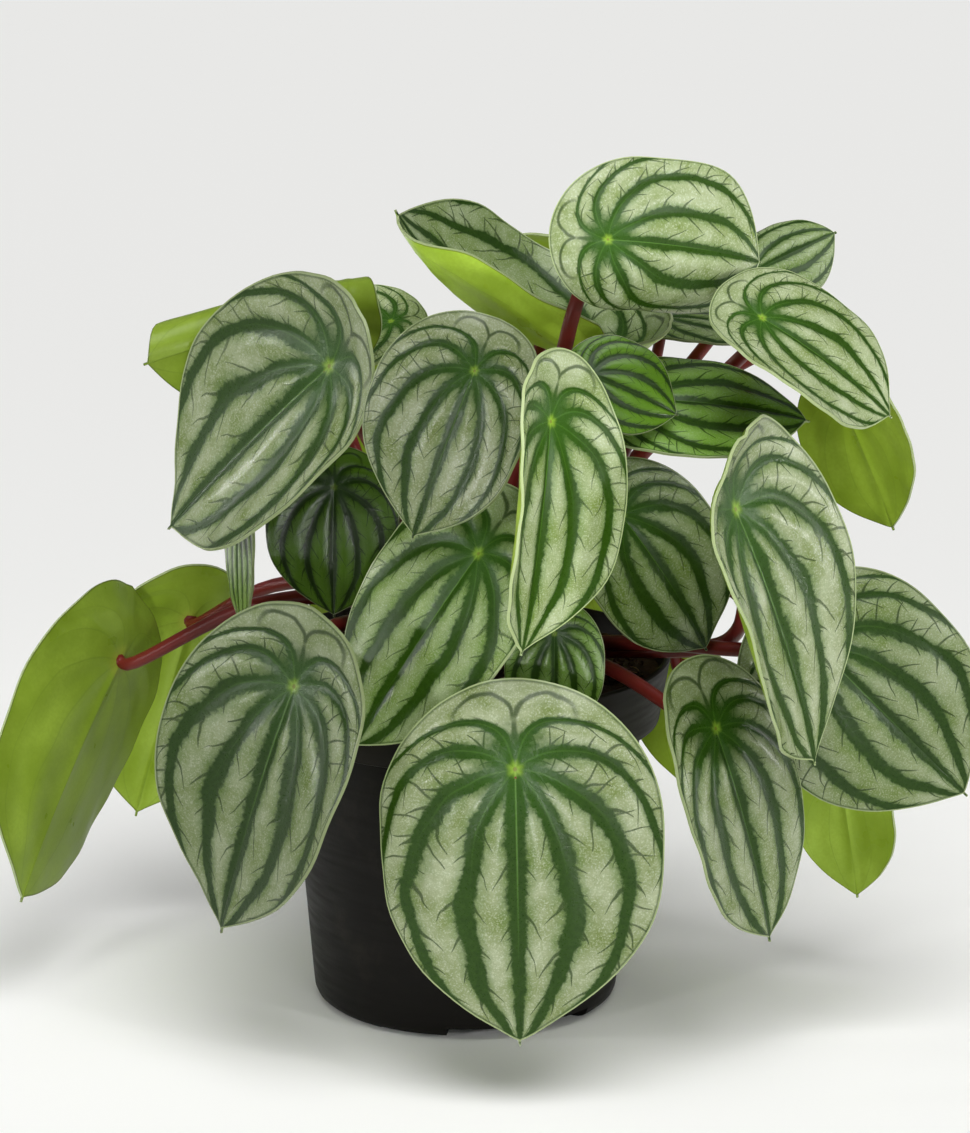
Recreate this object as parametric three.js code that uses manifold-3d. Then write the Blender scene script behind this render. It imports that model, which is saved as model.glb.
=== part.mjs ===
// Watermelon peperomia in a 12 cm nursery pot.
// Millimetres, +Z up. The origin is the middle of the pot's underside, where it stands; -Y is the front.
import * as THREE from "three";
import { mergeVertices } from "three/addons/utils/BufferGeometryUtils.js";
import Module from "manifold-3d";

const wasm = await Module();
wasm.setup();

// The pot: a thin moulded shell with a straight band round its rim.
const POT = {
  rimRadius: 60,
  height: 104.5,
  lip: 1.9,
  bandHeight: 19.5,
  bandFootRadius: 57,
  neckRadius: 51.8,
  footRadius: 45,
  wall: 1.2,
  floorTop: 5,
  segments: 48,
};

// Its underside: a flat pad in the middle, a groove round the pad and a foot ring cut into arcs.
const UNDERSIDE = {
  padRadius: 27,
  grooveTop: 3.2,
  ringInner: 35,
  ringOuter: 38.5,
  footCompass: -97,
  footSpan: 32,
  ledgeSpan: 44,
  ledgeTop: 1.2,
  archTop: 3.6,
  drainHoles: 8,
  drainRadius: 2.8,
  drainReach: 31,
};

// The potting mix fills the pot to a finger's width under the rim.
const SOIL = { top: 98.5, roughness: 1.1, rings: 5, segments: 28, gap: 0.3 };

// The crown: the short stem that every petiole grows from. It stands in a plain hole in the mix.
const CROWN = { radius: 8.5, top: 106, depth: 16, holeGap: 0.3, sides: 14 };

// A petiole is a fleshy red stalk, thicker where it leaves the crown.
const PETIOLE = {
  rootRadius: 2.7,
  tipRadius: 1.8,
  sides: 6,
  steps: 8,
  lean: 0.6,
  rise: 0.4,
  meet: 0.3,
  straight: 3,
  gap: 0.6,
};

// A blade is peltate: the petiole meets it at the hub, inside the margin, a quarter of the way
// from the base.
const BLADE = {
  thickness: 1.0,
  hubShare: 0.24,
  widestShare: 0.4,
  fullness: 2.8,
  tipPinch: 0.35,
  widthShare: 0.78,
  rings: [0.4, 0.75, 1],
  outlinePoints: 20,
};

// Each leaf of the plant.
// hub: where the petiole meets the blade.
// faces: which way the upper face looks, a compass angle from +X and a height above the horizon.
// turn: how far the tip is turned from straight downhill, anticlockwise as seen from above the face.
// length: base to tip. width: a share of the length. fullness: how blunt the tip half is.
// widest: how far from the base the blade is widest, a share of the length.
// droop: how far the tip end bends down. heel: the same for the base end. All angles are in degrees.
// cup: how far the left and right margins bend up, down when negative.
// twist: how far the tip end is wrung round the midrib.
// via: points the petiole passes through on its way from the crown.
const LEAVES = {
  // Low in front and on the left.
  front_low: {
    hub: [14, -94, 98], faces: [-88, 12], turn: 1, length: 105,
    droop: 20, heel: 25, cup: [-12, -45], via: [[0, -30, 114], [3, -62, 118]],
  },
  left_low: {
    hub: [-47, -72, 115], faces: [-125, 15], turn: -15, length: 101,
    width: 0.7, fullness: 2.4, widest: 0.46,
    droop: 15, heel: -25, cup: [28, 30], twist: -10, via: [[-30, -15, 117], [-42, -45, 120]],
  },
  centre_low: {
    hub: [4, -61, 150], faces: [-130, 27], turn: -24, length: 88, width: 0.66,
    droop: 10, heel: 12, cup: [0, 0],
  },
  under_centre: {
    hub: [25, -68, 129], faces: [-90, 10], turn: 0, length: 40, width: 0.7,
    droop: 15, heel: 20, cup: [10, 10],
  },
  dark_left: {
    hub: [-37, -25, 160], faces: [-100, 10], turn: 0, length: 50,
    droop: 15, heel: 20, cup: [10, 10],
  },
  // Low on the right.
  right_low: {
    hub: [70, -66, 101], faces: [-45, 15], turn: 13, length: 88, width: 0.58, fullness: 3.6,
    droop: 15, heel: 20, cup: [0, 20], via: [[20, -18, 108], [39, -37, 111]],
  },
  right_far: {
    hub: [100, -40, 117], faces: [-88, 12], turn: 45, length: 82,
    droop: 15, heel: 20, cup: [-10, -10], via: [[25, -8, 108], [57, -22, 113], [80, -32, 114]],
  },
  right_mid: {
    hub: [74, -78, 167], faces: [-35, 15], turn: 20, length: 111,
    width: 0.68, fullness: 2.6, widest: 0.43,
    droop: 15, heel: -60, cup: [15, 45], twist: -4,
    via: [[35, -12, 108], [73, -20, 112], [79, -44, 132]],
  },
  // The middle tier.
  centre_left: {
    hub: [3, -62, 202], faces: [-110, 15], turn: -18, length: 66, fullness: 2.6,
    droop: 10, heel: 20, cup: [40, 25],
  },
  centre_narrow: {
    hub: [23.5, -80, 192], faces: [-40, 10], turn: -17, length: 84,
    width: 0.66, fullness: 3, widest: 0.5,
    droop: 10, heel: -20, cup: [35, 50], twist: 8,
    via: [[10, -22, 140], [25, -50, 160], [27, -66, 178]],
  },
  centre_right: {
    hub: [44, -42, 156], faces: [-72, 20], turn: 34, length: 66, width: 0.66,
    droop: 35, heel: 20, cup: [30, 10],
  },
  left_high: {
    hub: [-38, -29, 196], faces: [-135, 15], turn: -47, length: 111,
    width: 0.66, fullness: 2.2, widest: 0.48,
    droop: 10, heel: -42, cup: [38, 30], twist: -11,
  },
  inner_small: {
    hub: [35.5, -36, 195], faces: [-80, 35], turn: 65, length: 36,
    droop: 20, heel: 20, cup: [10, 10], via: [[12, -20, 140], [24, -36, 170], [33, -38, 186]],
  },
  inner_right: {
    hub: [49, -23, 185], faces: [-90, 60], turn: 90, length: 66, width: 0.68,
    droop: 20, heel: 20, cup: [-20, 0],
  },
  // The top.
  top: {
    hub: [40, -31, 232.5], faces: [-75, 25], turn: 84, length: 69, width: 0.71, fullness: 6,
    droop: 35, heel: 20, cup: [0, -88], twist: -10,
    via: [[12, -8, 150], [26, -18, 190], [31, -18.5, 210], [35.5, -16, 222]],
  },
  top_boat: {
    hub: [40, 14, 190], faces: [-60, 78], turn: -127, length: 101, width: 0.74, fullness: 8,
    droop: -57, heel: -70, cup: [80, 40],
  },
  right_high: {
    hub: [83, -35, 211], faces: [-60, 45], turn: 45, length: 62, fullness: 4.2,
    droop: 20, heel: 20, cup: [-10, 35], via: [[30, 22, 135], [62, 26, 168], [84, 8, 195]],
  },
  top_back: {
    hub: [58, 40, 195.5], faces: [-90, 84], turn: 90, length: 50, width: 0.58,
    droop: 20, heel: 20, cup: [-20, -20],
  },
  top_right_back: {
    hub: [85, 45.5, 208], faces: [-90, 30], turn: 118, length: 38,
    droop: 10, heel: 20, cup: [-60, 10],
  },
  top_gap: {
    hub: [28, 72, 205], faces: [80, 30], turn: 10, length: 58,
    droop: 10, heel: 20, cup: [10, 10],
  },
  left_roll: {
    hub: [-22, 41, 194], faces: [-110, 60], turn: -60, length: 46,
    droop: 40, heel: 20, cup: [10, 10],
  },
  // Seen from below, hanging away from the camera.
  left_back_high: {
    hub: [-41, 18, 200.5], faces: [88, 20], turn: 78, length: 72, width: 0.62, fullness: 5,
    droop: 20, heel: 20, cup: [200, -10],
  },
  far_left: {
    hub: [-103.5, 25, 94], faces: [147, 8], turn: 37, length: 103,
    width: 0.7, fullness: 4, widest: 0.46,
    droop: 10, heel: -40, cup: [20, 15], twist: 8, via: [[-30, 8, 117], [-62, 16, 114]],
  },
  left_round: {
    hub: [-85, 67.5, 94.5], faces: [110, 8], turn: 16, length: 85, width: 0.66,
    droop: 10, heel: 20, cup: [-15, -60], via: [[-25, 20, 118], [-58, 45, 112]],
  },
  left_strip: {
    hub: [-65, 0, 148], faces: [-165, 5], turn: 0, length: 50,
    droop: 10, heel: 20, cup: [0, 0],
  },
  right_under: {
    hub: [112, 30, 171], faces: [50, 10], turn: -25, length: 52,
    droop: 10, heel: 20, cup: [-15, -15], via: [[45, 25, 150], [90, 32, 188]],
  },
  right_low_under: {
    hub: [112, 15, 60], faces: [60, 5], turn: -10, length: 48, width: 0.7,
    droop: 10, heel: 0, cup: [-15, -15], via: [[35, 6, 122], [75, 11, 122], [103, 7, 88]],
  },
  pot_under: {
    hub: [66, 40, 88], faces: [60, 5], turn: 0, length: 50, width: 0.7,
    droop: 10, heel: 0, cup: [-15, -15], via: [[25, 15, 116], [48, 29, 118], [59, 34, 107]],
  },
  // The back.
  back_high: {
    hub: [6, 80, 160], faces: [85, 25], turn: -10, length: 80,
    droop: 20, heel: 20, cup: [-20, -20],
  },
  back_left: {
    hub: [-43, 73, 170], faces: [115, 15], turn: 5, length: 62,
    droop: 20, heel: 20, cup: [-20, -20],
  },
  back_right: {
    hub: [44, 78, 130], faces: [75, 12], turn: -8, length: 76,
    droop: 20, heel: 20, cup: [-20, -20],
  },
  back_low: {
    hub: [-16, 84, 108], faces: [95, 12], turn: 5, length: 84,
    droop: 20, heel: 20, cup: [-20, -20],
  },
  back_low_right: {
    hub: [34, 74, 72], faces: [65, 5], turn: 10, length: 56,
    droop: 20, heel: 0, cup: [-20, -20], via: [[12, 26, 116], [22, 48, 118], [28, 63, 102]],
  },
};

const radians = THREE.MathUtils.degToRad;

// The half width of a flat blade of that length and width, at a share of its length from the base.
function halfWidth(share, width, fullness, widest) {
  if (share < widest) {
    const inward = (widest - share) / widest;
    return (width / 2) * Math.sqrt(Math.max(0, 1 - inward * inward));
  }
  const onward = (share - widest) / (1 - widest);
  const pinch = 1 - BLADE.tipPinch * onward ** 6;
  return (width / 2) * (1 - onward ** fullness) * pinch;
}

// The margin of the flat blade as points round the hub, from the tip to the base and back.
function outlineOf(leaf) {
  const width = leaf.length * (leaf.width ?? BLADE.widthShare);
  const perSide = BLADE.outlinePoints / 2;
  const fullness = leaf.fullness ?? BLADE.fullness;
  const widest = leaf.widest ?? BLADE.widestShare;
  const outline = [];
  for (let i = 0; i < BLADE.outlinePoints; i++) {
    const fromTip = i <= perSide ? i / perSide : 2 - i / perSide;
    const share = (1 + Math.cos(Math.PI * fromTip)) / 2;
    const side = i <= perSide ? 1 : -1;
    const x = side * halfWidth(share, width, fullness, widest);
    outline.push(new THREE.Vector2(x, (share - BLADE.hubShare) * leaf.length));
  }
  return outline;
}

// Where a point of the flat blade lies once the blade is bent, in the leaf's own frame:
// hub at the origin, tip towards +Y, upper face towards +Z.
function bentPoint(leaf, x, y) {
  const tipReach = leaf.length * (1 - BLADE.hubShare);
  const baseReach = leaf.length * BLADE.hubShare;
  const halfSpan = (leaf.length * (leaf.width ?? BLADE.widthShare)) / 2;
  const along = y / tipReach;

  // The midrib arches down at either end.
  const archPerMm = y > 0 ? radians(leaf.droop) / tipReach : radians(leaf.heel) / baseReach;
  const arch = archPerMm * y;
  const spineY = Math.abs(archPerMm) < 1e-6 ? y : Math.sin(arch) / archPerMm;
  const spineZ = Math.abs(archPerMm) < 1e-6 ? 0 : -(1 - Math.cos(arch)) / archPerMm;

  // The margins bend up or down, and the section is wrung round the midrib.
  const cupPerMm = radians(x < 0 ? leaf.cup[0] : leaf.cup[1]) / halfSpan;
  const isFlat = Math.abs(cupPerMm) < 1e-6;
  const sectionX = isFlat ? Math.abs(x) : Math.sin(Math.abs(cupPerMm * x)) / Math.abs(cupPerMm);
  const sectionZ = isFlat ? 0 : (1 - Math.cos(cupPerMm * x)) / cupPerMm;
  const wring = radians(leaf.twist ?? 0) * along;
  const localX = Math.sign(x) * sectionX * Math.cos(wring) - sectionZ * Math.sin(wring);
  const localZ = Math.sign(x) * sectionX * Math.sin(wring) + sectionZ * Math.cos(wring);

  return new THREE.Vector3(localX, spineY + localZ * Math.sin(arch), spineZ + localZ * Math.cos(arch));
}

// The upper face's normal there.
function bentNormal(leaf, x, y) {
  const step = 0.5;
  const alongX = bentPoint(leaf, x + step, y).sub(bentPoint(leaf, x - step, y));
  const alongY = bentPoint(leaf, x, y + step).sub(bentPoint(leaf, x, y - step));
  return alongX.cross(alongY).normalize();
}

// The leaf's own frame in the plant.
function leafFrame(leaf) {
  const [compass, height] = leaf.faces.map(radians);
  const face = new THREE.Vector3(
    Math.cos(height) * Math.cos(compass),
    Math.cos(height) * Math.sin(compass),
    Math.sin(height),
  );
  const downhill = new THREE.Vector3(0, 0, -1).addScaledVector(face, face.z).normalize();
  const tip = downhill.applyAxisAngle(face, radians(leaf.turn));
  const side = new THREE.Vector3().crossVectors(tip, face);
  return new THREE.Matrix4().makeBasis(side, tip, face).setPosition(...leaf.hub);
}

function closedGeometry(points, triangles) {
  const coordinates = points.flatMap((point) => point.toArray());
  const geometry = new THREE.BufferGeometry();
  geometry.setAttribute("position", new THREE.Float32BufferAttribute(coordinates, 3));
  geometry.setIndex(triangles.flat());
  return geometry;
}

// A bent blade with its thickness: rings round the hub, split into triangles alike on both faces.
function bladeGeometry(leaf) {
  const outline = outlineOf(leaf);
  const count = outline.length;
  const flat = [new THREE.Vector2(0, 0)];
  for (const ring of BLADE.rings) {
    for (const edge of outline) flat.push(edge.clone().multiplyScalar(ring));
  }
  const upper = [];
  const lower = [];
  for (const { x, y } of flat) {
    const middle = bentPoint(leaf, x, y);
    const normal = bentNormal(leaf, x, y);
    upper.push(middle.clone().addScaledVector(normal, BLADE.thickness / 2));
    lower.push(middle.clone().addScaledVector(normal, -BLADE.thickness / 2));
  }

  const face = [];
  for (let i = 0; i < count; i++) {
    const next = (i + 1) % count;
    face.push([0, 1 + next, 1 + i]);
    for (let ring = 1; ring < BLADE.rings.length; ring++) {
      const inner = 1 + (ring - 1) * count;
      const outer = inner + count;
      face.push([inner + i, inner + next, outer + i]);
      face.push([inner + next, outer + next, outer + i]);
    }
  }
  const under = flat.length;
  const triangles = [];
  for (const [a, b, c] of face) {
    triangles.push([a, b, c]);
    triangles.push([under + a, under + c, under + b]);
  }
  const rim = 1 + (BLADE.rings.length - 1) * count;
  for (let i = 0; i < count; i++) {
    const here = rim + i;
    const next = rim + ((i + 1) % count);
    triangles.push([here, next, under + here]);
    triangles.push([next, under + next, under + here]);
  }
  return closedGeometry([...upper, ...lower], triangles);
}

// The petiole's line, from the crown to the underside of the hub.
// Where other blades are in the way it goes round them through the leaf's own waypoints.
function petioleCurve(leaf) {
  const face = new THREE.Vector3().setFromMatrixColumn(leafFrame(leaf), 2);
  const hub = new THREE.Vector3(...leaf.hub);
  const end = hub.clone().addScaledVector(face, -(BLADE.thickness / 2 + PETIOLE.gap));
  const towards = leaf.via ? leaf.via[0] : leaf.hub;
  const outward = new THREE.Vector3(towards[0], towards[1], 0).normalize();
  const root = outward.clone().multiplyScalar(CROWN.radius * 0.55).setZ(CROWN.top - 5);
  if (leaf.via) {
    const waypoints = leaf.via.map((point) => new THREE.Vector3(...point));
    const before = end.clone().addScaledVector(face, -PETIOLE.straight);
    return new THREE.CatmullRomCurve3([root, ...waypoints, before, end]);
  }
  const span = end.distanceTo(root);
  const leaning = outward.multiplyScalar(PETIOLE.lean).setZ(1).normalize();
  const first = root.clone().addScaledVector(leaning, span * (leaf.rise ?? PETIOLE.rise));
  const last = end.clone().addScaledVector(face, -span * PETIOLE.meet);
  return new THREE.CubicBezierCurve3(root, first, last, end);
}

// A round stalk that follows a curve and narrows along it.
function stalkGeometry(curve, rootRadius, tipRadius, sides, steps) {
  const points = [];
  const triangles = [];
  const frames = curve.computeFrenetFrames(steps, false);
  for (let k = 0; k <= steps; k++) {
    const centre = curve.getPointAt(k / steps);
    const radius = THREE.MathUtils.lerp(rootRadius, tipRadius, k / steps);
    for (let i = 0; i < sides; i++) {
      const angle = (2 * Math.PI * i) / sides;
      points.push(
        centre
          .clone()
          .addScaledVector(frames.normals[k], radius * Math.cos(angle))
          .addScaledVector(frames.binormals[k], radius * Math.sin(angle)),
      );
    }
  }
  for (let k = 0; k < steps; k++) {
    for (let i = 0; i < sides; i++) {
      const a = k * sides + i;
      const b = k * sides + ((i + 1) % sides);
      triangles.push([a, b, a + sides]);
      triangles.push([b, b + sides, a + sides]);
    }
  }
  const last = steps * sides;
  for (let i = 1; i < sides - 1; i++) {
    triangles.push([0, i + 1, i]);
    triangles.push([last, last + i, last + i + 1]);
  }
  return closedGeometry(points, triangles);
}

// Closed geometry to a solid that can be cut and joined, and back.
function solidFrom(geometry) {
  const bare = geometry.clone();
  bare.deleteAttribute("normal");
  bare.deleteAttribute("uv");
  const merged = mergeVertices(bare, 1e-4);
  const mesh = new wasm.Mesh({
    numProp: 3,
    vertProperties: new Float32Array(merged.attributes.position.array),
    triVerts: new Uint32Array(merged.index.array),
  });
  return new wasm.Manifold(mesh);
}

function geometryFrom(solid) {
  const mesh = solid.getMesh();
  const geometry = new THREE.BufferGeometry();
  geometry.setAttribute("position", new THREE.BufferAttribute(mesh.vertProperties, 3));
  geometry.setIndex(new THREE.BufferAttribute(mesh.triVerts, 1));
  return geometry;
}

// A profile of [radius, height] points turned round the Z axis.
function turned(profile, segments) {
  const points = profile.map(([radius, height]) => new THREE.Vector2(radius, height));
  return new THREE.LatheGeometry(points, segments).rotateX(Math.PI / 2);
}

function crownGeometry() {
  const stem = turned(
    [
      [0, CROWN.top - CROWN.depth],
      [CROWN.radius * 0.7, CROWN.top - CROWN.depth],
      [CROWN.radius, CROWN.top - CROWN.depth * 0.5],
      [CROWN.radius * 0.95, CROWN.top - 2],
      [CROWN.radius * 0.5, CROWN.top],
      [0, CROWN.top],
    ],
    CROWN.sides,
  );
  let solid = solidFrom(stem);
  for (const leaf of Object.values(LEAVES)) {
    const { rootRadius, tipRadius, sides, steps } = PETIOLE;
    solid = solid.add(solidFrom(stalkGeometry(petioleCurve(leaf), rootRadius, tipRadius, sides, steps)));
  }
  return geometryFrom(solid);
}

const COLOURS = {
  pot: { color: 0x24221f, roughness: 0.55, metalness: 0 },
  soil: { color: 0x2a1c14, roughness: 0.95, metalness: 0 },
  stalk: { color: 0x7c2026, roughness: 0.45, metalness: 0 },
  blade: { color: 0x7fa06a, roughness: 0.4, metalness: 0 },
};

const plant = new THREE.Group();

function addPiece(name, geometry, finish) {
  const piece = new THREE.Mesh(geometry, new THREE.MeshStandardMaterial(COLOURS[finish]));
  piece.name = name;
  plant.add(piece);
  return piece;
}

// A wedge of a ring, standing on z = bottom, between two compass angles.
function arcBlock(inner, outer, from, span, bottom, top) {
  const steps = Math.ceil(span / 6);
  const corners = [];
  for (let i = 0; i <= steps; i++) {
    const angle = radians(from + (span * i) / steps);
    corners.push(new THREE.Vector2(outer * Math.cos(angle), outer * Math.sin(angle)));
  }
  for (let i = steps; i >= 0; i--) {
    const angle = radians(from + (span * i) / steps);
    corners.push(new THREE.Vector2(inner * Math.cos(angle), inner * Math.sin(angle)));
  }
  const wedge = new THREE.ExtrudeGeometry(new THREE.Shape(corners), {
    depth: top - bottom,
    bevelEnabled: false,
  });
  return solidFrom(wedge.translate(0, 0, bottom));
}

function potGeometry() {
  const { rimRadius, height, lip, bandFootRadius, neckRadius, footRadius, wall, floorTop } = POT;
  const { padRadius, grooveTop, ringInner, ringOuter } = UNDERSIDE;
  const step = height - POT.bandHeight;
  const shell = turned(
    [
      [0, 0],
      [padRadius, 0],
      [padRadius + 0.8, grooveTop],
      [ringInner - 0.6, grooveTop],
      [ringInner, 0],
      [ringOuter, 0],
      [footRadius - 2, 0.7],
      [footRadius - 0.6, 2.2],
      [footRadius, 4.6],
      [neckRadius, step],
      [bandFootRadius - 0.4, step],
      [bandFootRadius, step + 0.6],
      [rimRadius, height - 1.2],
      [rimRadius - 0.3, height - 0.2],
      [rimRadius - 0.8, height],
      [rimRadius - lip + 0.3, height],
      [rimRadius - lip, height - 0.5],
      [bandFootRadius - lip, step + wall + 0.3],
      [neckRadius - wall - 0.2, step + wall - 0.3],
      [footRadius - wall, floorTop + 1.6],
      [footRadius - wall - 1.6, floorTop],
      [0, floorTop],
    ],
    POT.segments,
  );
  let solid = solidFrom(shell);

  // Each half of the foot ring keeps one foot with a raised ledge on either side, then an arch.
  const { footCompass, footSpan, ledgeSpan, ledgeTop, archTop } = UNDERSIDE;
  const overlap = 1;
  for (const half of [0, 180]) {
    const footStart = footCompass + half - footSpan / 2;
    const footEnd = footStart + footSpan;
    const archSpan = 180 - footSpan - 2 * ledgeSpan;
    const before = arcBlock(34, 47, footStart - ledgeSpan - overlap, ledgeSpan + overlap, -1, ledgeTop);
    const after = arcBlock(34, 47, footEnd, ledgeSpan + overlap, -1, ledgeTop);
    const arch = arcBlock(34, 47, footEnd + ledgeSpan, archSpan, -1, archTop);
    solid = solid.subtract(before).subtract(after).subtract(arch);
  }

  // Drain holes through the floor, in the groove.
  for (let i = 0; i < UNDERSIDE.drainHoles; i++) {
    const angle = (2 * Math.PI * (i + 0.5)) / UNDERSIDE.drainHoles;
    const { drainRadius, drainReach } = UNDERSIDE;
    const hole = new THREE.CylinderGeometry(drainRadius, drainRadius, 12, 12).rotateX(Math.PI / 2);
    hole.translate(drainReach * Math.cos(angle), drainReach * Math.sin(angle), 3);
    solid = solid.subtract(solidFrom(hole));
  }
  return geometryFrom(solid);
}

// The mix fills the shell; its top is uneven, and the crown's hole goes down into it.
function soilGeometry() {
  const { neckRadius, footRadius, wall, floorTop, bandFootRadius, rimRadius, lip } = POT;
  const { top, gap, rings, segments, roughness } = SOIL;
  const step = POT.height - POT.bandHeight;
  const bandSlope = (rimRadius - bandFootRadius) / POT.bandHeight;
  const topRadius = bandFootRadius - lip + (top - step) * bandSlope - gap - 0.2;
  const holeRadius = CROWN.radius + CROWN.holeGap;
  const holeFloor = CROWN.top - CROWN.depth - CROWN.holeGap;
  const profile = [
    [0, floorTop + gap],
    [footRadius - wall - 2.2, floorTop + gap],
    [footRadius - wall - gap - 0.3, floorTop + 2],
    [neckRadius - wall - gap - 0.6, step + wall + gap],
    [bandFootRadius - lip - gap - 0.6, step + wall + gap + 0.5],
    [topRadius, top - 1.5],
  ];
  for (let ring = rings; ring >= 0; ring--) {
    profile.push([holeRadius + ((topRadius - 1.5 - holeRadius) * ring) / rings, top]);
  }
  profile.push([holeRadius, holeFloor]);
  profile.push([0, holeFloor]);
  const geometry = turned(profile, segments);
  const points = geometry.attributes.position;
  for (let i = 0; i < points.count; i++) {
    const x = points.getX(i);
    const y = points.getY(i);
    if (points.getZ(i) < top - 0.1) continue;
    const wave = Math.sin(x * 0.31 + 1.3) * Math.cos(y * 0.27) + 0.6 * Math.sin(x * 0.13 - y * 0.52);
    points.setZ(i, top + roughness * wave * 0.6);
  }
  return geometryFrom(solidFrom(geometry));
}

addPiece("pot", potGeometry(), "pot");
addPiece("potting_soil", soilGeometry(), "soil");
addPiece("crown_and_petioles", crownGeometry(), "stalk");
for (const [place, leaf] of Object.entries(LEAVES)) {
  const blade = addPiece(`leaf_${place}`, bladeGeometry(leaf), "blade");
  blade.applyMatrix4(leafFrame(leaf));
}

export default plant;
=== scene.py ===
import random
from functools import partial
from math import cos, hypot, pi, radians, sin
from types import SimpleNamespace

import bpy
import numpy as np
from mathutils import Euler, Matrix, Vector, noise


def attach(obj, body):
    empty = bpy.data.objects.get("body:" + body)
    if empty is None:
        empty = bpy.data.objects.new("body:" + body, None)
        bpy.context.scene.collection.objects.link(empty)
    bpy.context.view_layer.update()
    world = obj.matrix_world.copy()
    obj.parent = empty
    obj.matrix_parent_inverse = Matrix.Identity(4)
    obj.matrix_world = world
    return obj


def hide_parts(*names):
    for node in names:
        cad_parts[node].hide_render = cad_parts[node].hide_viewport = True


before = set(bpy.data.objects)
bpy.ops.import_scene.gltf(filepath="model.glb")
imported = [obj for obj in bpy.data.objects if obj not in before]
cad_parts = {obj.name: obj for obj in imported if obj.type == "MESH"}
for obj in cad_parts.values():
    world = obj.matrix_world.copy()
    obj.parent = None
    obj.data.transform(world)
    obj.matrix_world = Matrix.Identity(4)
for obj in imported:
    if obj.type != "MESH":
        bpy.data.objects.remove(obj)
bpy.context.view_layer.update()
mm = 0.001
print("frame loaded:", len(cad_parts), "nodes")


# small helpers

def linearColour(hexText):
    channels = [int(hexText[i : i + 2], 16) / 255 for i in (1, 3, 5)]
    return [c / 12.92 if c <= 0.04045 else ((c + 0.055) / 1.055) ** 2.4 for c in channels] + [1.0]


def setInputs(node, inputs):  # a list fills them in order; sockets are linked, values and hex colours set
    places = inputs.items() if isinstance(inputs, dict) else enumerate(inputs)
    for place, value in places:
        if isinstance(value, bpy.types.NodeSocket):
            node.id_data.links.new(value, node.inputs[place])
        else:
            node.inputs[place].default_value = linearColour(value) if isinstance(value, str) else value


def addNode(tree, kind, inputs, output=0, **settings):  # "Math ADD" is a Math node set to ADD
    kind, *operation = kind.split()
    node = tree.nodes.new("ShaderNode" + kind)
    if operation:
        node.operation = operation[0]
    for name, value in settings.items():
        setattr(node, name, value)
    setInputs(node, inputs)
    return node.outputs[output]


def newMaterial(name):
    material = bpy.data.materials.new(name)
    material.use_nodes = True
    tree = material.node_tree
    return material, partial(addNode, tree), tree.nodes["Principled BSDF"]


def paintOver(put, colour, *coats):  # each coat is where it shows, 0 to 1, and its colour
    for share, coat in coats:
        colour = put("Mix", {0: share, 6: colour, 7: coat}, 2, data_type="RGBA")
    return colour


def addShape(primitive, **settings):  # all else is deselected, so that edit mode gets this shape alone
    bpy.ops.object.select_all(action="DESELECT")
    primitive(**settings)
    return bpy.context.object


def selectOnly(piece):
    bpy.ops.object.select_all(action="DESELECT")
    piece.select_set(True)
    bpy.context.view_layer.objects.active = piece


def editOn(piece):
    selectOnly(piece)
    bpy.ops.object.mode_set(mode="EDIT")
    bpy.ops.mesh.select_all(action="SELECT")


def editOff():
    bpy.ops.object.mode_set(mode="OBJECT")


def applyModifiers(piece):
    selectOnly(piece)
    for modifier in list(piece.modifiers):
        bpy.ops.object.modifier_apply(modifier=modifier.name)


def shadeSmooth(piece, angle):  # across the edges that bend less than the angle
    selectOnly(piece)
    bpy.ops.object.shade_smooth_by_angle(angle=radians(angle))


def finishPiece(piece, name, slotName, *nodes):
    selectOnly(piece)
    bpy.ops.object.transform_apply(location=True, rotation=True, scale=True)
    piece.name = name
    piece.data.name = name
    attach(piece, "root")
    if nodes:
        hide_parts(*nodes)


def joinPieces(pieces):
    selectOnly(pieces[0])
    for piece in pieces:
        piece.select_set(True)
    bpy.ops.object.join()
    return bpy.context.object


# camera, at the photograph's height and distance

view = {
    "elevation": 15.0,
    "distance": 1300.0,
    "target": (5.8, 0.0, 130.0),
    "mmPerPixel": 0.291,  # at the target
    "pixelsTall": 1133,
}
tilt = radians(view["elevation"])
away = Vector((0, -cos(tilt), sin(tilt)))
bpy.ops.object.camera_add(location=(Vector(view["target"]) + away * view["distance"]) * mm)
camera = bpy.context.object
camera.rotation_euler = (-away).to_track_quat("-Z", "Y").to_euler()
camera.data.sensor_width = 36
camera.data.lens = 36 * view["distance"] / (view["pixelsTall"] * view["mmPerPixel"])
camera.data.clip_end = 100
bpy.context.scene.camera = camera

# floor and studio light

studio = {
    "floor": "#fafaf8",
    "world": ("#ffffff", 0.18),
    "sky": ((0.2, -0.8, 1.6), 45.0, 2.4),  # where it shines from, how wide it is in degrees, how strong
    "spread": 30,  # degrees, so that the lamps light the plant and little of the floor
    "lampSize": 0.12,
    "lamps": {  # place in metres, watts
        "leftLamp": ((-1.5, -0.2, 0.4), 0.13),
        "frontLeftLamp": ((-1.15, -1.0, 0.4), 0.13),
        "backLeftLamp": ((-1.4, 0.65, 0.4), 0.06),
        "rightLamp": ((1.2, -0.95, 0.53), 0.17),
        "rightSideLamp": ((1.5, 0.2, 0.15), 0.07),
        "lowLamp": ((0.0, -1.6, 0.1), 0.16),
    },
}
bpy.ops.mesh.primitive_plane_add(size=24)
floor = bpy.context.object
floor.name = "floor"
floorMaterial, _, shader = newMaterial("matt painted floor")
setInputs(shader, {"Base Color": studio["floor"], "Roughness": 0.9, "Specular IOR Level": 0.1})
floor.data.materials.append(floorMaterial)

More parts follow.
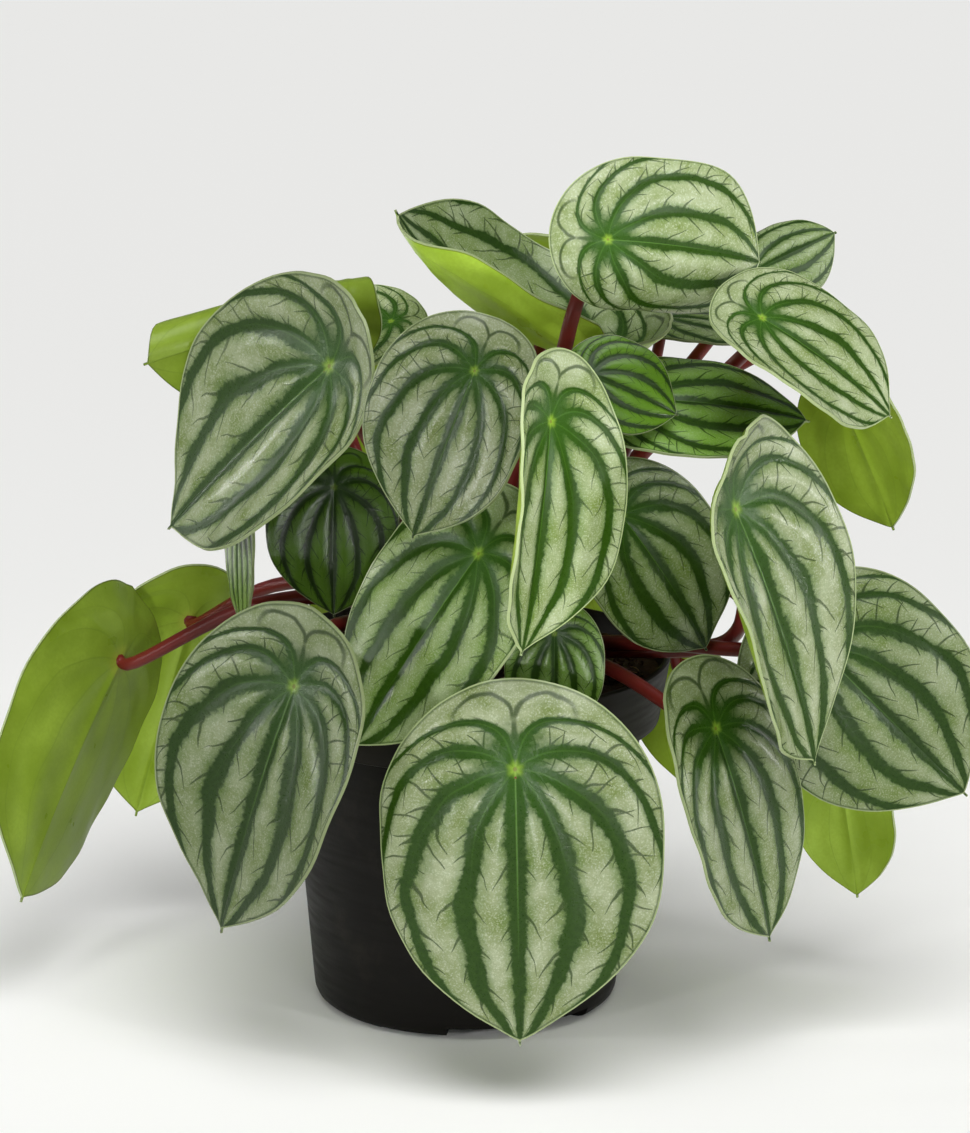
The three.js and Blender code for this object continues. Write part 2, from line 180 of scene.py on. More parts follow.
world = bpy.data.worlds.new("softWorld")
world.use_nodes = True
setInputs(world.node_tree.nodes["Background"], studio["world"])
bpy.context.scene.world = world
aim = Vector((0, 0, 0.13))
bpy.ops.object.light_add(type="SUN", location=(0, 0, 3))
sky = bpy.context.object
sky.name = "overheadSoftbox"
sky.data.angle = radians(studio["sky"][1])
sky.data.energy = studio["sky"][2]
sky.rotation_euler = (-Vector(studio["sky"][0])).to_track_quat("-Z", "Y").to_euler()
for lampName, (place, watts) in studio["lamps"].items():
    bpy.ops.object.light_add(type="AREA", location=place)
    lamp = bpy.context.object
    lamp.name = lampName
    lamp.data.size = studio["lampSize"]
    lamp.data.energy = watts
    lamp.data.spread = radians(studio["spread"])
    lamp.rotation_euler = (aim - Vector(place)).to_track_quat("-Z", "Y").to_euler()
bpy.context.scene.view_settings.view_transform = "Standard"
print("camera and studio set")

# leaf blades
# They are the leaves of the solids, in mm and degrees. Each flat blade has its hub at the origin and its tip
# towards +Y. hub is where the petiole meets it, faces is the compass angle and height that its upper face
# looks at, and turn is how far the tip is turned from straight downhill. The petiole of right_under passes
# 1.4 mm lower than in the solids, clear of the blade behind it.

blade = {
    "hubShare": 0.24,  # where the petiole meets it, a share of the length from the base
    "tipBlunt": 0.972,  # where the rounded part of the margin ends, and the drip tip goes on alone
    "tipTail": 0.26,  # how wide the drip tip starts, a share of the widest
    "tipPinch": 0.1,
    "thickness": 0.8,
    "spokes": 96,
    "rings": 26,
    "veinSpacing": 0.716,  # radians between neighbouring main veins where they leave the hub
    "veinBend": 0.1254,  # how much the outer veins hug the margin
    "groove": 0.5,  # mm that the midrib lies sunk, on a blade 100 mm long
    "ruffle": 0.5,  # mm that the margin waves, on the same
}

usualLeaf = {
    "width": 0.78,  # a share of the length
    "fullness": 3.0,  # how blunt the tip half is
    "widest": 0.4,  # how far from the base it is widest, a share of the length
    "droop": 20,  # how far the tip end bends down
    "heel": 20,  # the same for the base end
    "cup": (10, 10),  # how far the left and right margins bend up
    "twist": 0,  # how far the tip end is wrung round the midrib
    "via": (),  # points that its petiole passes through
    "toneAndShade": (0.9, 1.0, 1.0),  # how silver the upper face is, how light (partly the leaf's own tone, partly painted light and shade), and how wide its dark bands are
    "lime": 1.0,  # how light the underside is, partly painted light and shade
    "quilting": 0.9,  # mm that a blade 100 mm long swells between two veins
}

leaves = {
    # low in front and on the left
    "front_low": dict(
        hub=(14, -94, 98), faces=(-88, 12), turn=1, length=105, heel=25, cup=(-12, -45),
        via=[(0, -30, 114), (3, -62, 118)], toneAndShade=(1, 0.92, 1.05)),
    "left_low": dict(
        hub=(-47, -72, 115), faces=(-125, 15), turn=-15, length=101, width=0.7, fullness=2.4, widest=0.46,
        droop=15, heel=-25, cup=(28, 30), twist=-10, via=[(-30, -15, 117), (-42, -45, 120)],
        toneAndShade=(0.9, 0.58, 1.05)),
    "centre_low": dict(
        hub=(4, -61, 150), faces=(-130, 27), turn=-24, length=88, width=0.66, droop=10, heel=12, cup=(0, 0),
        toneAndShade=(0.75, 1.04, 1.1)),
    "under_centre": dict(
        hub=(25, -68, 129), faces=(-90, 10), turn=0, length=40, width=0.7, droop=15,
        toneAndShade=(0.35, 0.8, 1.05)),
    "dark_left": dict(
        hub=(-37, -25, 160), faces=(-100, 10), turn=0, length=50, droop=15, toneAndShade=(0.1, 0.33, 0.85)),
    # low on the right
    "right_low": dict(
        hub=(70, -66, 101), faces=(-45, 15), turn=13, length=88, width=0.58, fullness=3.6, droop=15,
        cup=(0, 20), via=[(20, -18, 108), (39, -37, 111)], toneAndShade=(0.95, 0.85, 0.95)),
    "right_far": dict(
        hub=(100, -40, 117), faces=(-88, 12), turn=45, length=82, droop=15, cup=(-10, -10),
        via=[(25, -8, 108), (57, -22, 113), (80, -32, 114)], toneAndShade=(0.9, 0.78, 1.1)),
    "right_mid": dict(
        hub=(74, -78, 167), faces=(-35, 15), turn=20, length=111, width=0.68, fullness=2.6, widest=0.43,
        droop=15, heel=-60, cup=(15, 45), twist=-4, via=[(35, -12, 108), (73, -20, 112), (79, -44, 132)],
        toneAndShade=(1, 1.05, 0.95)),
    # the middle tier
    "centre_left": dict(
        hub=(3, -62, 202), faces=(-110, 15), turn=-18, length=66, fullness=2.6, droop=10, cup=(40, 25),
        toneAndShade=(1, 0.66, 1)),
    "centre_narrow": dict(
        hub=(23.5, -80, 192), faces=(-40, 10), turn=-17, length=84, width=0.66, widest=0.5, droop=10,
        heel=-20, cup=(35, 50), twist=8, via=[(10, -22, 140), (25, -50, 160), (27, -66, 178)],
        toneAndShade=(0.95, 1.35, 0.95)),
    "centre_right": dict(
        hub=(44, -42, 156), faces=(-72, 20), turn=34, length=66, width=0.66, droop=35, cup=(30, 10),
        toneAndShade=(0.8, 0.68, 1.15)),
    "left_high": dict(
        hub=(-38, -29, 196), faces=(-135, 15), turn=-47, length=111, width=0.66, fullness=2.2, widest=0.48,
        droop=10, heel=-42, cup=(38, 30), twist=-11, toneAndShade=(0.95, 0.78, 1)),
    "inner_small": dict(
        hub=(35.5, -36, 195), faces=(-80, 35), turn=65, length=36,
        via=[(12, -20, 140), (24, -36, 170), (33, -38, 186)], toneAndShade=(0.05, 0.62, 1)),
    "inner_right": dict(
        hub=(49, -23, 185), faces=(-90, 60), turn=90, length=66, width=0.68, cup=(-20, 0),
        toneAndShade=(0.25, 1.1, 1)),
    # the top
    "top": dict(
        hub=(40, -31, 232.5), faces=(-75, 25), turn=84, length=69, width=0.71, fullness=6, droop=35,
        cup=(0, -88), twist=-10, via=[(12, -8, 150), (26, -18, 190), (31, -18.5, 210), (35.5, -16, 222)],
        toneAndShade=(0.95, 1.32, 0.88)),
    "top_boat": dict(
        hub=(40, 14, 190), faces=(-60, 78), turn=-127, length=101, width=0.74, fullness=8, droop=-57,
        heel=-70, cup=(80, 40), toneAndShade=(0.8, 1, 0.9), lime=1.6),
    "right_high": dict(
        hub=(83, -35, 211), faces=(-60, 45), turn=45, length=62, fullness=4.2, cup=(-10, 35),
        via=[(30, 22, 135), (62, 26, 168), (84, 8, 195)], toneAndShade=(0.95, 1.2, 0.8)),
    "top_back": dict(
        hub=(58, 40, 195.5), faces=(-90, 84), turn=90, length=50, width=0.58, cup=(-20, -20),
        toneAndShade=(0.7, 0.55, 1)),
    "top_right_back": dict(
        hub=(85, 45.5, 208), faces=(-90, 30), turn=118, length=38, droop=10, cup=(-60, 10),
        toneAndShade=(0.7, 1, 1)),
    "top_gap": dict(
        hub=(28, 72, 205), faces=(80, 30), turn=10, length=58, droop=10),
    "left_roll": dict(
        hub=(-22, 41, 194), faces=(-110, 60), turn=-60, length=46, droop=40, toneAndShade=(1, 1.5, 0.9)),
    # seen from below, hanging away from the camera
    "left_back_high": dict(
        hub=(-41, 18, 200.5), faces=(88, 20), turn=78, length=72, width=0.62, fullness=5, cup=(200, -10),
        lime=0.55, quilting=0.4),
    "far_left": dict(
        hub=(-103.5, 25, 94), faces=(147, 8), turn=37, length=103, width=0.7, fullness=4, widest=0.46,
        droop=10, heel=-40, cup=(20, 15), twist=8, via=[(-30, 8, 117), (-62, 16, 114)], lime=0.62,
        quilting=0.3),
    "left_round": dict(
        hub=(-85, 67.5, 94.5), faces=(110, 8), turn=16, length=85, width=0.66, droop=10, cup=(-15, -60),
        via=[(-25, 20, 118), (-58, 45, 112)], lime=0.92, quilting=0.4),
    "left_strip": dict(
        hub=(-65, 0, 148), faces=(-165, 5), turn=0, length=50, droop=10, cup=(0, 0), toneAndShade=(0.6, 0.9, 1)),
    "right_under": dict(
        hub=(112, 30, 171), faces=(50, 10), turn=-25, length=52, droop=10, cup=(-15, -15),
        via=[(45, 25, 150), (90, 32, 186.6)], lime=1.05, quilting=0.4),
    "right_low_under": dict(
        hub=(112, 15, 60), faces=(60, 5), turn=-10, length=48, width=0.7, droop=10, heel=0, cup=(-15, -15),
        via=[(35, 6, 122), (75, 11, 122), (103, 7, 88)], lime=0.95, quilting=0.3),
    "pot_under": dict(
        hub=(66, 40, 88), faces=(60, 5), turn=0, length=50, width=0.7, droop=10, heel=0, cup=(-15, -15),
        via=[(25, 15, 116), (48, 29, 118), (59, 34, 107)], lime=0.95, quilting=0.3),
    # the back
    "back_high": dict(
        hub=(6, 80, 160), faces=(85, 25), turn=-10, length=80, cup=(-20, -20), toneAndShade=(0.95, 1, 0.95)),
    "back_left": dict(
        hub=(-43, 73, 170), faces=(115, 15), turn=5, length=62, cup=(-20, -20), toneAndShade=(0.9, 0.95, 1)),
    "back_right": dict(
        hub=(44, 78, 130), faces=(75, 12), turn=-8, length=76, cup=(-20, -20), toneAndShade=(0.95, 0.95, 1)),
    "back_low": dict(
        hub=(-16, 84, 108), faces=(95, 12), turn=5, length=84, cup=(-20, -20)),
    "back_low_right": dict(
        hub=(34, 74, 72), faces=(65, 5), turn=10, length=56, heel=0, cup=(-20, -20),
        via=[(12, 26, 116), (22, 48, 118), (28, 63, 102)], toneAndShade=(0.9, 0.95, 1)),
}
leaves = {place: {**usualLeaf, **leaf} for place, leaf in leaves.items()}


def smoothStep(low, high, value):
    share = np.clip((value - low) / (high - low), 0, 1)
    return share * share * (3 - 2 * share)


def halfWidth(share, width, fullness, widest):
    inward = np.clip((widest - share) / widest, 0, 1)
    onward = np.clip((share - widest) / (1 - widest), 0, 1)
    base = width / 2 * np.sqrt(np.clip(1 - inward * inward, 0, 1))
    body = 1 - np.clip(onward / blade["tipBlunt"], 0, 1) ** fullness
    tail = blade["tipTail"] * (1 - onward) ** 1.2 * smoothStep(0, 0.5, onward)
    tip = width / 2 * np.hypot(body, tail) * (1 - blade["tipPinch"] * onward**6)
    return np.where(share < widest, base, tip)


def bentSheet(leaf, x, y):  # where points of the flat blade lie once it is bent, in the leaf's own frame
    length = leaf["length"]
    tipReach = length * (1 - blade["hubShare"])
    baseReach = length * blade["hubShare"]
    halfSpan = length * leaf["width"] / 2
    droop, heel = radians(leaf["droop"]), radians(leaf["heel"])
    archPerMm = np.where(y > 0, droop / tipReach, heel / baseReach)
    archPerMm = np.where(np.abs(archPerMm) < 1e-6, 1e-6, archPerMm)
    arch = archPerMm * y
    spineY = np.sin(arch) / archPerMm
    spineZ = -(1 - np.cos(arch)) / archPerMm
    cupPerMm = np.where(x < 0, radians(leaf["cup"][0]), radians(leaf["cup"][1])) / halfSpan
    cupPerMm = np.where(np.abs(cupPerMm) < 1e-6, 1e-6, cupPerMm)
    sectionX = np.sign(x) * np.sin(np.abs(cupPerMm * x)) / np.abs(cupPerMm)
    sectionZ = (1 - np.cos(cupPerMm * x)) / cupPerMm
    wring = radians(leaf["twist"]) * y / tipReach
    localX = sectionX * np.cos(wring) - sectionZ * np.sin(wring)
    localZ = sectionX * np.sin(wring) + sectionZ * np.cos(wring)
    return np.stack([localX, spineY + localZ * np.sin(arch), spineZ + localZ * np.cos(arch)], 1)


def bentNormal(leaf, x, y):
    alongX = bentSheet(leaf, x + 0.5, y) - bentSheet(leaf, x - 0.5, y)
    alongY = bentSheet(leaf, x, y + 0.5) - bentSheet(leaf, x, y - 0.5)
    normal = np.cross(alongX, alongY)
    return normal / np.linalg.norm(normal, axis=1, keepdims=True)


def leafMatrix(leaf):
    compass, height = (radians(angle) for angle in leaf["faces"])
    level = cos(height)
    face = Vector((level * cos(compass), level * sin(compass), sin(height)))
    downhill = (Vector((0, 0, -1)) + face * face.z).normalized()
    tip = Matrix.Rotation(radians(leaf["turn"]), 3, face) @ downhill
    side = tip.cross(face)
    matrix = Matrix((side, tip, face)).transposed().to_4x4()
    matrix.translation = Vector(leaf["hub"])
    return matrix


def veinAngle(x, y, share):  # which vein a point lies on, by the angle at which that vein leaves the hub
    spread = np.arctan2(np.abs(x), y) + np.arctan2(np.abs(x), 1 - blade["hubShare"] - y)
    return spread * (1 + blade["veinBend"] * share**4 * spread**2)


def modelDisc(radius, height, corners, rings):  # a flat disc, cut into rings of faces
    disc = addShape(
        bpy.ops.mesh.primitive_circle_add,
        vertices=corners, radius=radius, fill_type="NGON", location=(0, 0, height))
    bpy.ops.object.transform_apply(location=True)
    editOn(disc)
    bpy.ops.mesh.normals_make_consistent(inside=False)
    for ring in range(rings - 1):
        bpy.ops.mesh.inset(thickness=radius * cos(pi / corners) / rings, depth=0)
    bpy.ops.mesh.poke()
    editOff()
    return disc


def addVectors(mesh, name, values):
    attribute = mesh.attributes.new(name, "FLOAT_VECTOR", "POINT")
    attribute.data.foreach_set("vector", np.asarray(values, np.float32).ravel())


def shapeBlade(disc, place, leaf, seed):
    piece = disc.copy()
    piece.data = disc.data.copy()
    bpy.context.collection.objects.link(piece)
    mesh = piece.data
    co = np.empty(len(mesh.vertices) * 3, np.float64)
    mesh.vertices.foreach_get("co", co)
    co = co.reshape(-1, 3)
    share = np.clip(np.hypot(co[:, 0], co[:, 1]), 0, 1)
    turnFromTip = np.arctan2(np.abs(co[:, 0]), co[:, 1]) / pi
    side = np.sign(np.where(np.abs(co[:, 0]) < 1e-6, 0, co[:, 0]))
    lengthShare = (1 + np.cos(pi * turnFromTip)) / 2
    length = leaf["length"]
    width = length * leaf["width"]
    outlineX = side * halfWidth(lengthShare, width, leaf["fullness"], leaf["widest"])
    outlineY = (lengthShare - blade["hubShare"]) * length
    x, y = share * outlineX, share * outlineY

    # the swell between the veins, the sunken midrib and the wave of the margin
    nx, ny = x / length, y / length
    angle = veinAngle(nx, ny, share)
    spacing = blade["veinSpacing"]
    swell = 0.5 - 0.5 * np.cos(2 * pi * angle / spacing)
    swell = np.where(angle > 4.5 * spacing, 1, swell)
    reach = np.hypot(nx, ny)
    size = length / 100
    relief = leaf["quilting"] * size * swell * smoothStep(0.02, 0.2, reach) * smoothStep(0, 0.25, 1 - share)
    groove = np.exp(-((nx / 0.014) ** 2)) * smoothStep(-0.1, 0.02, ny) * smoothStep(0.7, 0.3, ny)
    relief -= blade["groove"] * size * groove
    draw = random.Random(seed)
    sweep = 2 * pi * turnFromTip * (1 + 0.15 * side)  # the two halves wave differently
    waves = [(draw.uniform(0, 6.3), count, draw.uniform(0.5, 1)) for count in (3, 5, 8)]
    ruffle = sum(amount * np.sin(count * sweep + phase) for phase, count, amount in waves)
    relief += blade["ruffle"] * size * ruffle / 2 * share**4 * smoothStep(0.0, 0.15, turnFromTip)

    place3d = bentSheet(leaf, x, y) + bentNormal(leaf, x, y) * relief[:, None]
    matrix = np.array(leafMatrix(leaf))
    place3d = (place3d @ matrix[:3, :3].T + matrix[:3, 3]) * mm
    mesh.vertices.foreach_set("co", place3d.ravel())
    mesh.update()
    addVectors(mesh, "flat", np.stack([nx, ny, share], 1))
    addVectors(mesh, "grain", np.stack([x, y, np.full(len(x), seed * 37.0)], 1))
    addVectors(mesh, "toneAndShade", np.tile(leaf["toneAndShade"], (len(x), 1)))
    addVectors(mesh, "lime", np.tile((leaf["lime"], 0, 0), (len(x), 1)))

    sheet = piece.modifiers.new("thickness", "SOLIDIFY")
    sheet.thickness = blade["thickness"] * mm
    sheet.offset = 0
    sheet.material_offset = 1
    mesh.materials.append(bladeUpper)
    mesh.materials.append(bladeUnder)
    applyModifiers(piece)
    shadeSmooth(piece, 50)
    finishPiece(piece, "blade_" + place, "blade", "leaf_" + place)


# blade finishes

bladeLooks = {
    "silverLow": "#68793c",
    "silverHigh": "#9fa887",
    "youngGreen": "#62901c",
    "grainAndGlint": "#d5dcc8",
    "halo": "#45661f",
    "band": "#1f3a05",
    "bandNearHub": "#284c0e",
    "veinDark": "#1d330c",
    "midrib": "#52782c",
    "hubSpot": "#8db034",
    "hubScar": "#6b5a2c",
    "margin": "#9aa878",
    "fineShare": 0.78,  # how much of the side veins' dark shows
    "roughness": 0.19,
    "specular": 0.27,
}
limeLooks = {
    "low": "#90ae30",
    "high": "#aac846",
    "rib": "#7c9a30",
    "edge": "#65742c",
    "nearHub": "#b4c24a",
    "roughness": 0.3,
    "specular": 0.3,
}

# The pattern of the veins. Lengths are shares of the blade's length, angles are in radians as a vein leaves
# the hub, and scales are in lumps per mm.
stripes = {
    "drift": 0.36,  # how far a vein wanders off its line
    "driftScale": 0.045,
    "half": 0.066,  # half the width of a band as an angle; the next two add to it near the hub and the tip
    "halfAtHub": 0.024,
    "halfAtTip": 0.0066,
    "outermost": 0.55,  # how wide the outermost band is beside the middle one
    "lastBand": (3.0, 3.2),  # the veins past it run behind the hub and have no band
    "bulge": 0.9,  # how far the edges of a band swell and fray, in half widths
    "bulgeScale": 0.16,
    "fray": 1.0,
    "frayScale": 0.8,
    "bandEdge": (0.72, 1.22),  # where a band starts to fade and where it is gone, in half widths
    "haloEdge": (0.9, 2.2),
    "hubDark": (0.05, 0.15),
    "longVeins": {
        "count": 5.5, "countMore": 1.5, "lean": 0.75, "curve": 1.4, "wander": 0.7, "wanderScale": 0.09,
        "reach": (0.65, 1.25), "width": 0.0115, "endWidth": 0.0018, "seed": 3.0,
    },
    "barbs": {
        "count": 19.0, "countMore": 2.0, "lean": 0.9, "curve": 1.0, "wander": 1.4, "wanderScale": 0.2,
        "reach": (0.15, 0.55), "width": 0.0055, "endWidth": 0.001, "seed": 7.0,
    },
    "rungs": {
        "count": 15.0, "countMore": 2.5, "lean": 0.7, "curve": 1.2, "wander": 1.5, "wanderScale": 0.04,
        "reach": (0.25, 1.5), "width": 0.0045, "endWidth": 0.0014, "seed": 13.0,
    },
    "loopCentre": (0.078, -0.128),  # the ring that the last pair of veins follows, on either side
    "loopRadii": (0.08, 0.0676),
    "crystalScale": 1.9,  # the wax crystals are 0.1 mm, drawn at 0.5 mm so that they show
}


def chain(put, kind, first, *others):  # the same kind of sum over several values
    for other in others:
        first = put(kind, [first, other])
    return first


def soften(put, value, full, gone, most=1.0):  # most where the value is at full, fading to nothing at gone
    return put("MapRange", [value, full, gone, most, 0.0], interpolation_type="SMOOTHSTEP")


def waver(put, grain, scale, detail, swing, roughness=0.5):  # noise that swings evenly about 0
    lumps = put("TexNoise", {"Vector": grain, "Scale": scale, "Detail": detail, "Roughness": roughness})
    return put("Math MULTIPLY_ADD", [lumps, swing, -swing / 2])


def lighten(put, colour, share):
    return put("VectorMath MULTIPLY", [colour, put("CombineXYZ", [share, share, share])])


def veinField(put):  # where a point lies among the veins, worked out from the flat blade's own coordinates
    flat = put("Attribute", [], 1, attribute_name="flat")
    grain = put("Attribute", [], 1, attribute_name="grain")
    x, y, share = put("SeparateXYZ", [flat]).node.outputs
    hubToTip = 1 - blade["hubShare"]
    sideways = put("Math ABSOLUTE", [x])
    atHub = put("Math ARCTAN2", [sideways, y])
    atTip = put("Math ARCTAN2", [sideways, put("Math SUBTRACT", [hubToTip, y])])
    spread = put("Math ADD", [atHub, atTip])
    outer = put("Math POWER", [share, 4.0])
    hug = put("Math MULTIPLY", [outer, put("Math MULTIPLY", [spread, spread])])
    hug = put("Math MULTIPLY_ADD", [hug, blade["veinBend"], 1.0])
    straight = put("Math MULTIPLY", [spread, hug])
    drift = waver(put, grain, stripes["driftScale"], 1.0, stripes["drift"])
    hold = put("MapRange", [straight, 0.0, 0.5, 0.0, 1.0])  # the midrib doesn't wander
    angle = put("Math MULTIPLY_ADD", [drift, hold, straight])
    plane = put("VectorMath MULTIPLY", [flat, (1, 1, 0)])
    fromHub = put("Math MAXIMUM", [put("VectorMath LENGTH", [plane], 1), 0.004])
    fromTip = put("Math MAXIMUM", [put("VectorMath DISTANCE", [plane, (0, hubToTip, 0)], 1), 0.004])
    both = put("Math ADD", [fromHub, fromTip])
    reach = put("Math DIVIDE", [fromHub, share])  # from the hub to the margin
    offVein = put("Math PINGPONG", [angle, blade["veinSpacing"] / 2])
    perRadian = put("Math DIVIDE", [put("Math MULTIPLY", [fromHub, fromTip]), hubToTip])
    return SimpleNamespace(
        x=x, y=y, sideways=sideways, grain=grain, seed=put("SeparateXYZ", [grain], 2),
        angle=angle, straight=straight, fromHub=fromHub, fromTip=fromTip,
        along=put("Math DIVIDE", [fromHub, both]),  # 0 at the hub, 1 at the tip
        perRadian=perRadian,
        fromVein=put("Math MULTIPLY", [offVein, perRadian]),
        perAlong=put("Math DIVIDE", [put("Math MULTIPLY", [both, both]), hubToTip]),
        offVein=offVein,
        fromEdge=put("Math MULTIPLY", [reach, put("Math SUBTRACT", [1.0, share])]),
    )


# Side veins that leave a main vein forwards and fade out between the bands. across runs from 0 on the main
# vein to 1 halfway to the next, or all the way for the rungs of a ladder.
def sideVeins(put, field, across, lane, style):
    lean = put("Math MULTIPLY", [put("Math POWER", [across, style["curve"]]), -style["lean"]])
    count = put("Math MULTIPLY_ADD", [lane, style["countMore"], style["count"]])
    step = put("Math MULTIPLY_ADD", [field.along, count, lean])
    row = put("Math MULTIPLY_ADD", [put("Math SIGN", [field.x]), 23.0, lane])  # the two halves differ
    row = put("Math ADD", [row, style["seed"]])
    wander = put("TexNoise", {"Vector": field.grain, "Scale": style["wanderScale"], "Detail": 2.0})
    step = put("Math MULTIPLY_ADD", [wander, style["wander"], step])
    step = put("Math MULTIPLY_ADD", [row, 0.37, step])
    cell = put("Math FLOOR", [step])
    chance = put("TexWhiteNoise", [put("CombineXYZ", [cell, row, field.seed])])
    other = put("TexWhiteNoise", [put("CombineXYZ", [row, cell, field.seed])])
    centre = put("Math MULTIPLY_ADD", [chance, 0.5, 0.25])
    off = put("Math SUBTRACT", [put("Math FRACT", [step]), centre])
    off = put("Math DIVIDE", [put("Math ABSOLUTE", [off]), count])
    off = put("Math MULTIPLY", [off, field.perAlong])
    reach = put("MapRange", [other, 0.0, 1.0, *style["reach"]])
    gone = put("Math DIVIDE", [across, reach])
    width = put("MapRange", [gone, 0.1, 1.0, style["width"], style["endWidth"]])
    width = put("Math MULTIPLY_ADD", [width, soften(put, gone, 0.9, 1.02), 0.0001])
    return soften(put, put("Math DIVIDE", [off, width]), 0.45, 1.2)


def fineVeins(put, field):
    spacing = blade["veinSpacing"]
    across = put("Math DIVIDE", [field.offVein, spacing / 2])
    lane = put("Math FLOOR", [put("Math DIVIDE", [field.angle, spacing / 2])])
    longVeins = sideVeins(put, field, across, lane, stripes["longVeins"])
    barbs = sideVeins(put, field, across, lane, stripes["barbs"])
    zone = put("Math DIVIDE", [field.angle, spacing])
    rungs = sideVeins(put, field, put("Math FRACT", [zone]), put("Math FLOOR", [zone]), stripes["rungs"])
    rungs = put("Math MULTIPLY", [rungs, soften(put, field.angle, 1.7, 1.3)])  # not on the outer veins
    fine = chain(put, "Math MAXIMUM", longVeins, barbs, rungs)
    return put("Math MULTIPLY", [fine, soften(put, field.angle, 2.95, 3.15)])


def veinsBehindHub(put, field):  # the last pair of veins loops out from a short stem behind the hub
    (centreX, centreY), (radiusX, radiusY) = stripes["loopCentre"], stripes["loopRadii"]
    loopX = put("Math DIVIDE", [put("Math SUBTRACT", [field.sideways, centreX]), radiusX])
    loopY = put("Math DIVIDE", [put("Math ADD", [field.y, -centreY]), radiusY])
    loop = put("VectorMath LENGTH", [put("CombineXYZ", [loopX, loopY, 0.0])], 1)
    loop = put("Math ADD", [loop, waver(put, field.grain, 0.12, 2.0, 0.4)])
    loop = soften(put, put("Math ABSOLUTE", [put("Math SUBTRACT", [loop, 1.0])]), 0.03, 0.14)
    behind = put("MapRange", [field.y, -0.11, -0.14, 0.0, 1.0])
    loop = chain(put, "Math MULTIPLY", loop, behind, soften(put, field.sideways, 0.12, 0.2))
    stemWidth = put("MapRange", [field.y, -0.15, 0.0, 0.006, 0.02])
    stem = soften(put, put("Math DIVIDE", [field.sideways, stemWidth]), 0.3, 1.1)
    for full, gone in ((-0.11, -0.15), (0.0, 0.02)):
        stem = put("Math MULTIPLY", [stem, soften(put, field.y, full, gone)])
    return loop, stem
